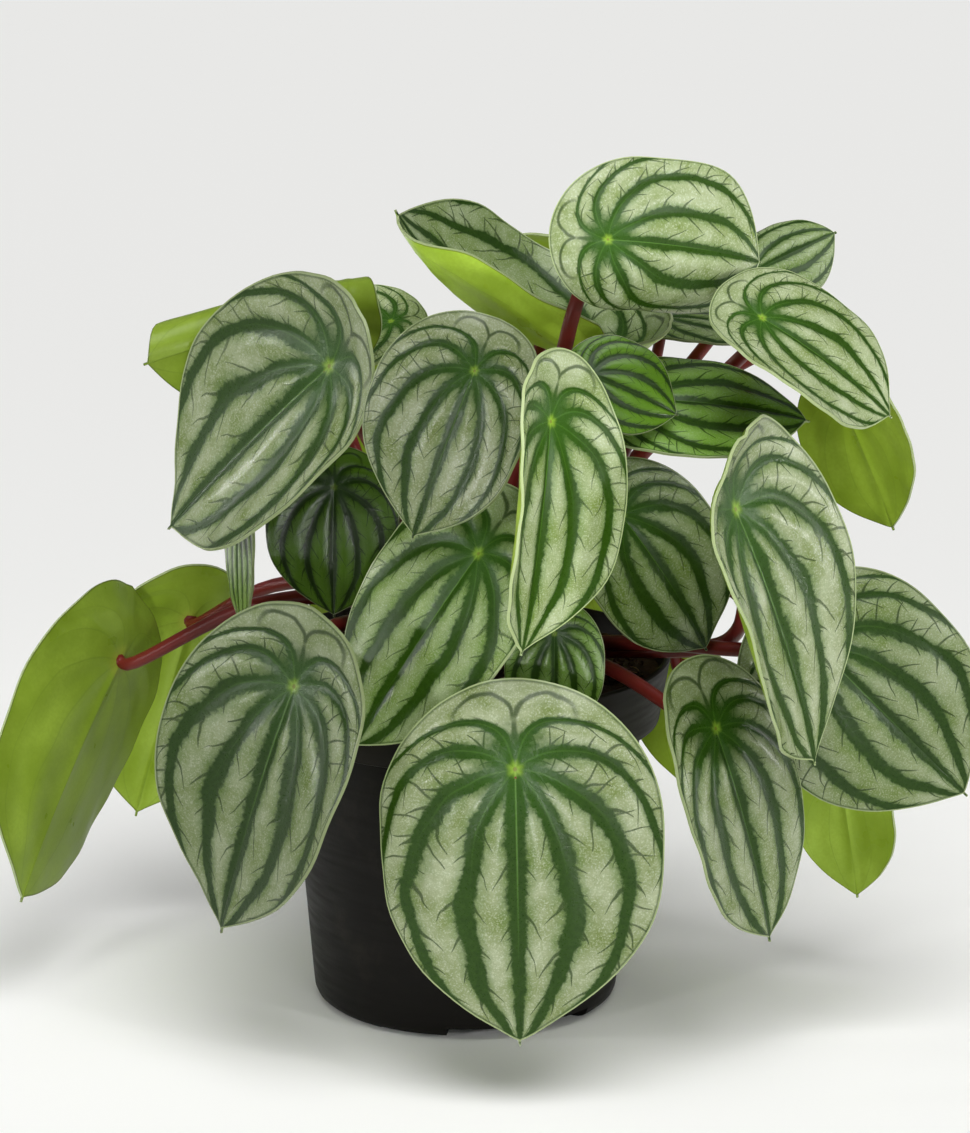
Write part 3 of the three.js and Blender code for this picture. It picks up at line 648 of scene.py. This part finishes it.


# Fleshy peperomia leaf, upper face: a waxy skin over silver air-filled cells, dark green along the veins.
# The silver reads as a pale grainy satin with soft highlights, its near-white grain partly painted glints,
# the bands as deeper green with soft edges.
def makeBladeUpper():
    material, put, shader = newMaterial("waxy striped leaf skin")
    field = veinField(put)
    grain = field.grain
    toneAndShade = put("Attribute", [], 1, attribute_name="toneAndShade")
    silverShare, lightnessAndShade, bandWidth = put("SeparateXYZ", [toneAndShade]).node.outputs

    # dark bands along the veins: wide near the hub, narrower on the outer veins, with uneven edges
    atHub = put("Math DIVIDE", [stripes["halfAtHub"], field.fromHub])
    atTip = put("Math DIVIDE", [stripes["halfAtTip"], field.fromTip])
    half = chain(put, "Math ADD", atHub, atTip, stripes["half"])
    weight = put("MapRange", [field.angle, 0.0, 2.9, 1.0, stripes["outermost"]])
    basal = put("MapRange", [field.angle, *stripes["lastBand"], 1.0, 0.02])
    half = put("Math MULTIPLY", [half, chain(put, "Math MULTIPLY", weight, basal, bandWidth)])
    fringe = waver(put, grain, stripes["frayScale"], 4.0, stripes["fray"], 0.65)
    uneven = put("Math ADD", [waver(put, grain, stripes["bulgeScale"], 2.0, stripes["bulge"]), fringe])
    edge = put("Math ADD", [put("Math DIVIDE", [field.offVein, half]), uneven])
    band = soften(put, edge, *stripes["bandEdge"])
    halo = soften(put, edge, *stripes["haloEdge"], 0.5)
    nearHub = put("Math MULTIPLY_ADD", [uneven, 0.06, field.fromHub])
    dark = put("Math MAXIMUM", [band, soften(put, nearHub, *stripes["hubDark"])])
    fine = chain(put, "Math MAXIMUM", fineVeins(put, field), *veinsBehindHub(put, field))

    # silver flesh, duller in clouds, with its crystals as near-white specks that are partly painted glints
    cloud = put("TexNoise", {"Vector": grain, "Scale": 0.09, "Detail": 4.0, "Roughness": 0.6})
    cloud = put("MapRange", [cloud, 0.3, 0.7, 0.0, 1.0])
    silver = paintOver(put, bladeLooks["silverLow"], (cloud, bladeLooks["silverHigh"]))
    crystal = stripes["crystalScale"]
    paleGrainGlints = put("TexNoise", {"Vector": grain, "Scale": crystal, "Detail": 2.0, "Roughness": 0.7})
    paleGrainGlints = put("MapRange", [paleGrainGlints, 0.5, 0.75, 0.0, 0.45])
    paleGrainGlints = put("Math MULTIPLY", [paleGrainGlints, silverShare])
    # the near-white specks are the crystals' pale grain and partly painted glints
    pale = paintOver(
        put, bladeLooks["youngGreen"], (silverShare, silver), (paleGrainGlints, bladeLooks["grainAndGlint"]),
        (halo, bladeLooks["halo"]))

    # green bands, with thin pale ribs along their middles
    hubGreen = put("MapRange", [field.fromHub, 0.03, 0.22, 1.0, 0.0])
    mottle = put("Math MULTIPLY_ADD", [fringe, 0.6, 0.12], use_clamp=True)
    green = paintOver(
        put, bladeLooks["band"], (hubGreen, bladeLooks["bandNearHub"]), (mottle, bladeLooks["halo"]))
    rib = soften(put, put("Math MULTIPLY", [field.straight, field.perRadian]), 0.0008, 0.0048, 0.75)
    rib = put("Math MULTIPLY", [rib, soften(put, field.y, 0.15, 0.6)])
    sideRib = soften(put, field.fromVein, 0.0005, 0.0045, 0.3)
    sideRib = chain(put, "Math MULTIPLY", sideRib, soften(put, field.fromHub, 0.05, 0.4), basal)
    rib = put("Math MAXIMUM", [rib, sideRib])

    # the pale star at the hub with the scar of the petiole, and the pale margin with a dark line inside it
    rays = put("Math COSINE", [put("Math MULTIPLY", [put("Math ARCTAN2", [field.x, field.y]), 6.5])])
    star = put("Math MULTIPLY_ADD", [rays, -0.0025, field.fromHub])
    colour = paintOver(
        put, pale,
        (put("Math MULTIPLY", [fine, bladeLooks["fineShare"]]), bladeLooks["veinDark"]),
        (dark, green),
        (rib, bladeLooks["midrib"]),
        (soften(put, star, 0.004, 0.03, 0.7), bladeLooks["hubSpot"]),
        (soften(put, field.fromHub, 0.003, 0.009, 0.7), bladeLooks["hubScar"]),
        (soften(put, field.fromEdge, 0.007, 0.014, 0.6), bladeLooks["band"]),
        (soften(put, field.fromEdge, 0.0025, 0.006), bladeLooks["margin"]))

    rough = bladeLooks["roughness"]
    gloss = put("MapRange", [paleGrainGlints, 0.0, 0.45, rough + 0.07, rough - 0.05])  # the crystals glint
    gloss = put("Math MULTIPLY_ADD", [dark, 0.08, gloss])
    crystals = put("TexNoise", {"Vector": grain, "Scale": 1.3, "Detail": 3.0, "Roughness": 0.7})
    dents = put("TexNoise", {"Vector": grain, "Scale": 0.3, "Detail": 2.0})
    height = put("Math MULTIPLY_ADD", [dents, 1.6, crystals])
    height = put("Math MULTIPLY_ADD", [dark, -0.5, height])
    height = put("Math MULTIPLY_ADD", [fine, -0.4, height])
    # the lightness is partly painted light and shade: lighter on leaves that face the lamps, darker on
    # leaves in shade
    setInputs(shader, {
        "Base Color": lighten(put, colour, lightnessAndShade),
        "Roughness": gloss,
        "Normal": put("Bump", {"Strength": 0.8, "Distance": 0.00007, "Height": height}),
        "IOR": 1.45,
        "Specular IOR Level": bladeLooks["specular"],
    })
    return material


# Underside of the same leaf: bare green tissue with no air cells, so a plain lime green with a soft shine.
def makeBladeUnder():
    material, put, shader = newMaterial("smooth lime leaf underside")
    field = veinField(put)
    grain = field.grain
    cloud = put("TexNoise", {"Vector": grain, "Scale": 0.07, "Detail": 4.0})
    cloud = put("MapRange", [cloud, 0.3, 0.7, 0.0, 1.0])
    mottle = put("TexNoise", {"Vector": grain, "Scale": 0.9, "Detail": 3.0})
    mottle = put("MapRange", [mottle, 0.35, 0.65, 0.0, 0.3])
    basal = put("MapRange", [field.angle, *stripes["lastBand"], 1.0, 0.0])
    rib = put("Math MULTIPLY", [soften(put, field.fromVein, 0.001, 0.005), basal])
    colour = paintOver(
        put, limeLooks["low"],
        (cloud, limeLooks["high"]),
        (mottle, limeLooks["low"]),
        (put("Math MULTIPLY", [rib, 0.3]), limeLooks["rib"]),
        (soften(put, field.fromEdge, 0.002, 0.007, 0.7), limeLooks["edge"]),
        (soften(put, field.fromHub, 0.03, 0.06, 0.6), limeLooks["nearHub"]))
    lightnessAndShade = put("SeparateXYZ", [put("Attribute", [], 1, attribute_name="lime")])
    rough = limeLooks["roughness"]
    dents = put("TexNoise", {"Vector": grain, "Scale": 0.3, "Detail": 2.0})
    height = put("Math MULTIPLY_ADD", [rib, 0.4, mottle])
    height = put("Math MULTIPLY_ADD", [dents, 1.2, height])
    # the underside's lightness is partly painted light and shade: lit as if light shone through on top_boat,
    # shaded on far_left and left_back_high
    setInputs(shader, {
        "Base Color": lighten(put, colour, lightnessAndShade),
        "Roughness": put("MapRange", [cloud, 0.0, 1.0, rough - 0.04, rough + 0.06]),
        "Normal": put("Bump", {"Strength": 0.6, "Distance": 0.00006, "Height": height}),
        "IOR": 1.45,
        "Specular IOR Level": limeLooks["specular"],
    })
    return material


bladeUpper = makeBladeUpper()
bladeUnder = makeBladeUnder()
disc = modelDisc(1, 0, blade["spokes"], blade["rings"])
for number, (place, leaf) in enumerate(leaves.items()):
    shapeBlade(disc, place, leaf, number + 1)
bpy.data.objects.remove(disc)
print("leaf blades shaped:", len(leaves))

# crown and petioles

petiole = {
    "crownRadius": 8.5,
    "crownTop": 106.0,
    "crownDepth": 16.0,
    "crownBevel": 3.0,
    "rootRadius": 2.7,
    "tipRadius": 1.75,
    "flareFrom": 0.93,  # it widens from this share of its length on, by this share of its radius at the end
    "flare": 0.55,
    "rootAt": 0.55,  # how far out it starts, a share of the crown's radius
    "rootDepth": 5.0,  # how far below the crown's top
    "bite": 0.15,  # how deep its end sits in the blade
    "lean": 0.6,  # how far outwards it heads from the crown
    "rise": 0.4,  # how far that heading reaches, and how far the blade's own, in shares of its length
    "meet": 0.3,
    "straight": 3.0,  # how long it runs square to the blade where it passes through points
    "steps": 26,
    "stepsBetween": 8,  # between two such points
    "red": "#601419",
    "redDark": "#3c1010",
    "tipTint": "#7c2c22",
    "roughness": 0.36,
    "specular": 0.35,
}


def ropePoints(points, steps):  # a centripetal Catmull-Rom line through the points
    points = [points[0] * 2 - points[1], *points, points[-1] * 2 - points[-2]]
    line = []
    for i in range(1, len(points) - 2):
        p = points[i - 1 : i + 3]
        knots = [0.0]
        for a, b in zip(p, p[1:]):
            knots.append(knots[-1] + (b - a).length ** 0.5)
        for step in range(steps):
            t = knots[1] + (knots[2] - knots[1]) * step / steps
            a = [p[j] + (p[j + 1] - p[j]) * ((t - knots[j]) / (knots[j + 1] - knots[j])) for j in range(3)]
            b = [a[j] + (a[j + 1] - a[j]) * ((t - knots[j]) / (knots[j + 2] - knots[j])) for j in range(2)]
            line.append(b[0] + (b[1] - b[0]) * ((t - knots[1]) / (knots[2] - knots[1])))
    line.append(points[-2])
    return line


def petioleLine(leaf):
    face = leafMatrix(leaf).col[2].to_3d()
    end = Vector(leaf["hub"]) - face * (blade["thickness"] / 2 - petiole["bite"])
    via = [Vector(point) for point in leaf["via"]]
    towards = (via[0] if via else Vector(leaf["hub"])).copy()
    towards.z = 0
    outward = towards.normalized()
    root = outward * (petiole["crownRadius"] * petiole["rootAt"])
    root.z = petiole["crownTop"] - petiole["rootDepth"]
    if via:
        return ropePoints([root, *via, end - face * petiole["straight"], end], petiole["stepsBetween"])
    span = (end - root).length
    first = root + (outward * petiole["lean"] + Vector((0, 0, 1))).normalized() * span * petiole["rise"]
    last = end - face * span * petiole["meet"]
    line = []
    for step in range(petiole["steps"] + 1):
        t = step / petiole["steps"]
        spot = root * (1 - t) ** 3 + first * 3 * t * (1 - t) ** 2 + last * 3 * t * t * (1 - t) + end * t**3
        line.append(spot)
    return line


def tubesAlong(name, lines, unit, roundness):  # a line is a list of (point in metres, radius in units)
    curve = bpy.data.curves.new(name, "CURVE")
    curve.dimensions = "3D"
    curve.bevel_depth = unit
    curve.bevel_resolution = roundness
    curve.use_fill_caps = True
    for line in lines:
        spline = curve.splines.new("POLY")
        spline.points.add(len(line) - 1)
        for (spot, radius), point in zip(line, spline.points):
            point.co = [*spot, 1]
            point.radius = radius
    tubes = bpy.data.objects.new(name, curve)
    bpy.context.collection.objects.link(tubes)
    selectOnly(tubes)
    bpy.ops.object.convert(target="MESH")
    return bpy.context.object


def modelPetiole(leaf):
    line = petioleLine(leaf)
    points = []
    for i, spot in enumerate(line):
        share = i / (len(line) - 1)
        radius = petiole["rootRadius"] + (petiole["tipRadius"] - petiole["rootRadius"]) * min(1, share * 1.1)
        flare = max(0, (share - petiole["flareFrom"]) / (1 - petiole["flareFrom"]))
        points.append((spot * mm, radius * (1 + petiole["flare"] * flare * flare)))
    return tubesAlong("petiole", [points], mm, 3)


def modelCrown():  # a stub of stem with the scars of old leaves
    depth = petiole["crownDepth"]
    place = (0, 0, (petiole["crownTop"] - depth / 2) * mm)
    crown = addShape(
        bpy.ops.mesh.primitive_cylinder_add,
        vertices=32, radius=petiole["crownRadius"] * mm, depth=depth * mm, location=place)
    selectOnly(crown)
    bpy.ops.object.transform_apply(location=True)
    bevel = crown.modifiers.new("round top", "BEVEL")
    bevel.width = petiole["crownBevel"] * mm
    bevel.segments = 4
    finer = crown.modifiers.new("finer", "SUBSURF")
    finer.subdivision_type = "SIMPLE"
    finer.levels = finer.render_levels = 2
    applyModifiers(crown)
    for vertex in crown.data.vertices:
        out = Vector((vertex.co.x, vertex.co.y, 0))
        lump = noise.noise(vertex.co / (3 * mm)) * 0.7 + sin(vertex.co.z / mm * 1.9) * 0.25
        vertex.co += out.normalized() * lump * mm if out.length > 4 * mm else Vector()
    return crown


# Fleshy petiole: juicy stalk under a thin clear skin, red from the sap pigment. Smooth, wet-looking, with a
# faint grain, blotched with darker red and browner towards the blades.
def makePetioleSkin():
    material, put, shader = newMaterial("fleshy red stalk skin")
    place = put("TexCoord", [], 3)
    fromCrown = put("VectorMath DISTANCE", [place, (0, 0, petiole["crownTop"] * mm)], 1)
    tint = put("Math MULTIPLY", [put("MapRange", [fromCrown, 0.01, 0.11, 0.0, 1.0]), 0.6])
    blotch = put("TexNoise", {"Vector": place, "Scale": 90.0, "Detail": 3.0})
    blotch = put("MapRange", [blotch, 0.35, 0.7, 0.0, 1.0])
    ridges = put("TexNoise", {"Vector": place, "Scale": 700.0, "Detail": 2.0})
    setInputs(shader, {
        "Base Color": paintOver(
            put, petiole["red"], (blotch, petiole["redDark"]), (tint, petiole["tipTint"])),
        "Normal": put("Bump", {"Strength": 0.15, "Distance": 0.0002, "Height": ridges}),
        "Roughness": petiole["roughness"],
        "IOR": 1.42,
        "Specular IOR Level": petiole["specular"],
    })
    return material


stalks = joinPieces([modelCrown(), *[modelPetiole(leaf) for leaf in leaves.values()]])
stalks.data.materials.clear()
stalks.data.materials.append(makePetioleSkin())
shadeSmooth(stalks, 50)
finishPiece(stalks, "crownAndPetioles", "petiole", "crown_and_petioles")
print("crown and petioles modelled")

# pot

pot = {
    "profile": [  # radius and height, from the middle of the underside, up the outside and down the inside
        (0, 0), (27, 0), (27.8, 3.2), (34.4, 3.2), (35, 0), (38.5, 0), (41.4, 0.3), (43, 0.8), (44.2, 1.8),
        (44.8, 3.2), (45, 4.8), (51.75, 84.7), (52.1, 85), (56.3, 85), (56.8, 85.25), (57, 85.8),
        (59.95, 103.0), (59.95, 103.9), (59.5, 104.4), (59.1, 104.5), (58.6, 104.45), (58.25, 104.1),
        (58.1, 103.6), (55.2, 86.6), (50.5, 85.9), (43.8, 6.6), (43.2, 5.4), (42.2, 5.0), (0, 5.0),
    ],
    "segments": 160,
    # What is cut from the foot on each half: a ledge on either side of the part it stands on, then an arch.
    # Start and span are in degrees, and the height is in mm.
    "footCuts": [(-158, 45, 1.2), (-81, 44, 1.2), (-37, 60, 3.6)],
    "footRing": (34, 47),
    "holes": 8,
    "holeRadius": 2.8,
    "holesAt": 31,
    "colour": "#0b0906",
    "bandColour": "#15120c",
    "bandFrom": 85.0,
    "dust": "#5a5248",
    "roughness": 0.5,
    "specular": 0.13,
}


def cutAway(piece, cutter):
    cut = piece.modifiers.new("cut", "BOOLEAN")
    cut.object = cutter
    cut.solver = "EXACT"
    applyModifiers(piece)
    bpy.data.objects.remove(cutter)


def spinRound(steps, angle, threshold):
    bpy.ops.mesh.spin(steps=steps, angle=angle, center=(0, 0, 0), axis=(0, 0, 1))
    bpy.ops.mesh.select_all(action="SELECT")
    bpy.ops.mesh.remove_doubles(threshold=threshold)
    bpy.ops.mesh.normals_make_consistent(inside=False)
    editOff()


def modelRingBlock(inner, outer, start, span, top):  # a wedge of a ring, spun from its section
    block = addShape(bpy.ops.mesh.primitive_plane_add, size=1)
    section = [(inner, -1), (outer, -1), (inner, top), (outer, top)]
    for vertex, (radius, height) in zip(block.data.vertices, section):
        vertex.co = (radius * mm, 0, height * mm)
    block.data.transform(Matrix.Rotation(radians(start), 4, "Z"))
    editOn(block)
    spinRound(max(3, int(span / 3)), radians(span), 1e-6)
    return block


def modelPot():
    shell = addShape(bpy.ops.mesh.primitive_plane_add, size=mm)
    editOn(shell)
    bpy.ops.mesh.merge(type="CENTER")  # one vertex, which is drawn out along the profile
    for (radius, height), (nextRadius, nextHeight) in zip(pot["profile"], pot["profile"][1:]):
        step = ((nextRadius - radius) * mm, 0, (nextHeight - height) * mm)
        bpy.ops.mesh.extrude_vertices_move(TRANSFORM_OT_translate={"value": step})
    bpy.ops.mesh.select_all(action="SELECT")
    spinRound(pot["segments"], 2 * pi, 1e-5)
    for half in (0, 180):
        for start, span, height in pot["footCuts"]:
            cutAway(shell, modelRingBlock(*pot["footRing"], half + start, span, height))
    for i in range(pot["holes"]):
        angle = 2 * pi * (i + 0.5) / pot["holes"]
        place = (pot["holesAt"] * mm * cos(angle), pot["holesAt"] * mm * sin(angle), 3 * mm)
        drill = addShape(
            bpy.ops.mesh.primitive_cylinder_add,
            vertices=24, radius=pot["holeRadius"] * mm, depth=12 * mm, location=place)
        cutAway(shell, drill)
    return shell


# Injection-moulded black polypropylene: a satin skin with a faint orange-peel, brown-black where light rakes
# it, with fine scuffs and a trace of dust from the potting mix.
def makePotPlastic():
    material, put, shader = newMaterial("moulded black polypropylene")
    place = put("TexCoord", [], 3)
    height = put("SeparateXYZ", [place], 2)
    bandFrom = pot["bandFrom"] * mm
    onBand = put("MapRange", [height, bandFrom - 0.0005, bandFrom + 0.0005, 0.0, 1.0])
    dust = put("TexNoise", {"Vector": place, "Scale": 55.0, "Detail": 6.0, "Roughness": 0.7})
    dust = put("MapRange", [dust, 0.55, 0.85, 0.0, 0.12])
    stretched = put("Mapping", {0: place, 3: (1, 1, 9)})
    scuff = put("TexNoise", {"Vector": stretched, "Scale": 60.0, "Detail": 4.0})
    peel = put("TexNoise", {"Vector": place, "Scale": 1100.0, "Detail": 2.0})  # about 1 mm from bump to bump
    setInputs(shader, {
        "Base Color": paintOver(put, pot["colour"], (onBand, pot["bandColour"]), (dust, pot["dust"])),
        "Roughness": put("MapRange", [scuff, 0.3, 0.7, pot["roughness"] - 0.06, pot["roughness"] + 0.1]),
        "Normal": put("Bump", {"Strength": 0.12, "Distance": 0.0002, "Height": peel}),
        "Specular IOR Level": pot["specular"],
    })
    return material


potShell = modelPot()
potShell.data.materials.append(makePotPlastic())
shadeSmooth(potShell, 32)
finishPiece(potShell, "potShell", "pot", "pot")
print("pot modelled")

# potting mix

soil = {
    "top": 98.5,
    "topRadius": 57.0,
    "sides": [(55.0, 86.9), (50.0, 86.2), (43.4, 7.0), (42.0, 5.35)],  # radius and height, from the rim down
    "corners": 120,
    "rings": 34,
    "relief": 1.6,
    "clearing": 10.0,  # round the crown, with no crumbs on it
    "damp": "#2b1c13",
    "dry": "#4b3424",
    "patches": 260.0,
}
crumbs = {
    "count": 520,
    "sizes": (0.6, 2.0),
    "seed": 3,
    "damp": "#241710",
    "dry": "#553c29",
    "patches": 420.0,
}
paleBits = {
    "count": 70,
    "sizes": (0.3, 0.8),
    "seed": 5,
    "damp": "#8d7b60",
    "dry": "#b9a98c",
    "patches": 300.0,
}
fibres = {
    "count": 60,
    "lengths": (3, 8),
    "radius": 0.16,
    "lift": (0.35, 0.5),  # above the mix at its ends, and how much more in its middle
    "seed": 11,
    "damp": "#7c6042",
    "dry": "#9a7d58",
    "patches": 300.0,
}


def soilHeight(x, y):  # lumpy top, in mm
    spot = Vector((x / 9, y / 9, 0.3))
    fine = Vector((x / 2.6, y / 2.6, 4.1))
    return soil["relief"] * (noise.noise(spot) * 0.9 + noise.noise(fine) * 0.55)


def modelSoil():
    radius, low = soil["topRadius"], soil["top"]
    body = modelDisc(radius * mm, low * mm, soil["corners"], soil["rings"])
    for vertex in body.data.vertices:
        x, y = vertex.co.x / mm, vertex.co.y / mm
        reach = hypot(x, y) / radius
        vertex.co.z += soilHeight(x, y) * mm * min(1, (1 - reach) * 12 + 0.4)
    editOn(body)
    bpy.ops.mesh.select_all(action="DESELECT")
    bpy.ops.mesh.select_non_manifold()
    for nextRadius, nextHeight in soil["sides"]:
        bpy.ops.mesh.extrude_edges_move()
        spread = nextRadius / radius
        bpy.ops.transform.resize(value=(spread, spread, 1), center_override=(0, 0, 0))
        bpy.ops.transform.translate(value=(0, 0, (nextHeight - low) * mm))
        radius, low = nextRadius, nextHeight
    bpy.ops.mesh.fill()
    bpy.ops.mesh.select_all(action="SELECT")
    bpy.ops.mesh.normals_make_consistent(inside=False)
    editOff()
    return body


# Peat-based potting mix, moist: near-black brown, matt, with drier paler patches and a gritty surface.
def makeSoilMaterial(name, looks):
    material, put, shader = newMaterial(name)
    place = put("TexCoord", [], 3)
    patches = put("TexNoise", {"Vector": place, "Scale": looks["patches"], "Detail": 5.0, "Roughness": 0.65})
    patches = put("MapRange", [patches, 0.42, 0.68, 0.0, 1.0])
    grit = put("TexNoise", {"Vector": place, "Scale": 900.0, "Detail": 3.0})  # 1 mm grit
    setInputs(shader, {
        "Base Color": paintOver(put, looks["damp"], (patches, looks["dry"])),
        "Normal": put("Bump", {"Strength": 0.8, "Distance": 0.0008, "Height": grit}),
        "Roughness": 0.85,
        "Specular IOR Level": 0.3,
    })
    return material


def scatterSpot(draw, margin):  # a spot on the mix, clear of the crown and of the pot's wall
    reach = soil["topRadius"] - 1
    while True:
        x, y = draw.uniform(-reach, reach), draw.uniform(-reach, reach)
        if soil["clearing"] < hypot(x, y) < soil["topRadius"] - margin:
            return x, y


def modelLump():  # one crumb of about 1 mm radius
    lump = addShape(bpy.ops.mesh.primitive_ico_sphere_add, subdivisions=2, radius=mm)
    editOn(lump)
    bpy.ops.transform.vertex_random(offset=0.35 * mm, uniform=0.4, normal=0.5, seed=4)
    editOff()
    coarser = lump.modifiers.new("fewer faces", "DECIMATE")
    coarser.ratio = 0.5
    applyModifiers(lump)
    return lump


def modelCrumbs(name, bits, material):
    draw = random.Random(bits["seed"])
    lump = modelLump()
    lump.data.materials.append(material)
    copies = []
    for i in range(bits["count"]):
        x, y = scatterSpot(draw, 3.5)
        size = draw.uniform(*bits["sizes"])
        wide, deep, tall = [size * draw.uniform(*limits) for limits in ((0.7, 1.4), (0.6, 1.1), (0.4, 0.8))]
        place = Vector((x, y, soil["top"] + soilHeight(x, y) + tall * 0.35)) * mm
        turn = Euler((draw.uniform(-0.5, 0.5), draw.uniform(-0.5, 0.5), draw.uniform(0, 6.3)))
        crumb = lump.copy()
        crumb.data = lump.data.copy()
        crumb.data.transform(Matrix.LocRotScale(place, turn, Vector((wide, deep, tall))))
        bpy.context.collection.objects.link(crumb)
        copies.append(crumb)
    bpy.data.objects.remove(lump)
    finishPiece(joinPieces(copies), name, "soil")


def modelFibres(material):
    draw = random.Random(fibres["seed"])
    endLift, arch = fibres["lift"]
    lines = []
    for i in range(fibres["count"]):
        x, y = scatterSpot(draw, 7)
        heading, length = draw.uniform(0, 6.3), draw.uniform(*fibres["lengths"])
        bend = draw.uniform(-1.2, 1.2)
        line = []
        for share in (0, 0.25, 0.5, 0.75, 1):
            turn = heading + bend * share
            px, py = x + (share - 0.5) * length * cos(turn), y + (share - 0.5) * length * sin(turn)
            pz = soil["top"] + soilHeight(px, py) + endLift + arch * sin(share * pi)
            line.append(((px * mm, py * mm, pz * mm), 1 - 0.5 * abs(share - 0.5)))
        lines.append(line)
    tubes = tubesAlong("soilFibres", lines, fibres["radius"] * mm, 1)
    tubes.data.materials.clear()
    tubes.data.materials.append(material)
    finishPiece(tubes, "soilFibres", "soil")


peat = makeSoilMaterial("moist peat mix", soil)
body = modelSoil()
body.data.materials.append(peat)
shadeSmooth(body, 60)
finishPiece(body, "pottingMix", "soil", "potting_soil")
modelCrumbs("soilCrumbs", crumbs, makeSoilMaterial("peat and bark crumbs", crumbs))
modelCrumbs("paleBits", paleBits, makeSoilMaterial("pale wood bits", paleBits))
modelFibres(makeSoilMaterial("dry peat fibre", fibres))
print("potting mix modelled")

# the end

print("scene built")
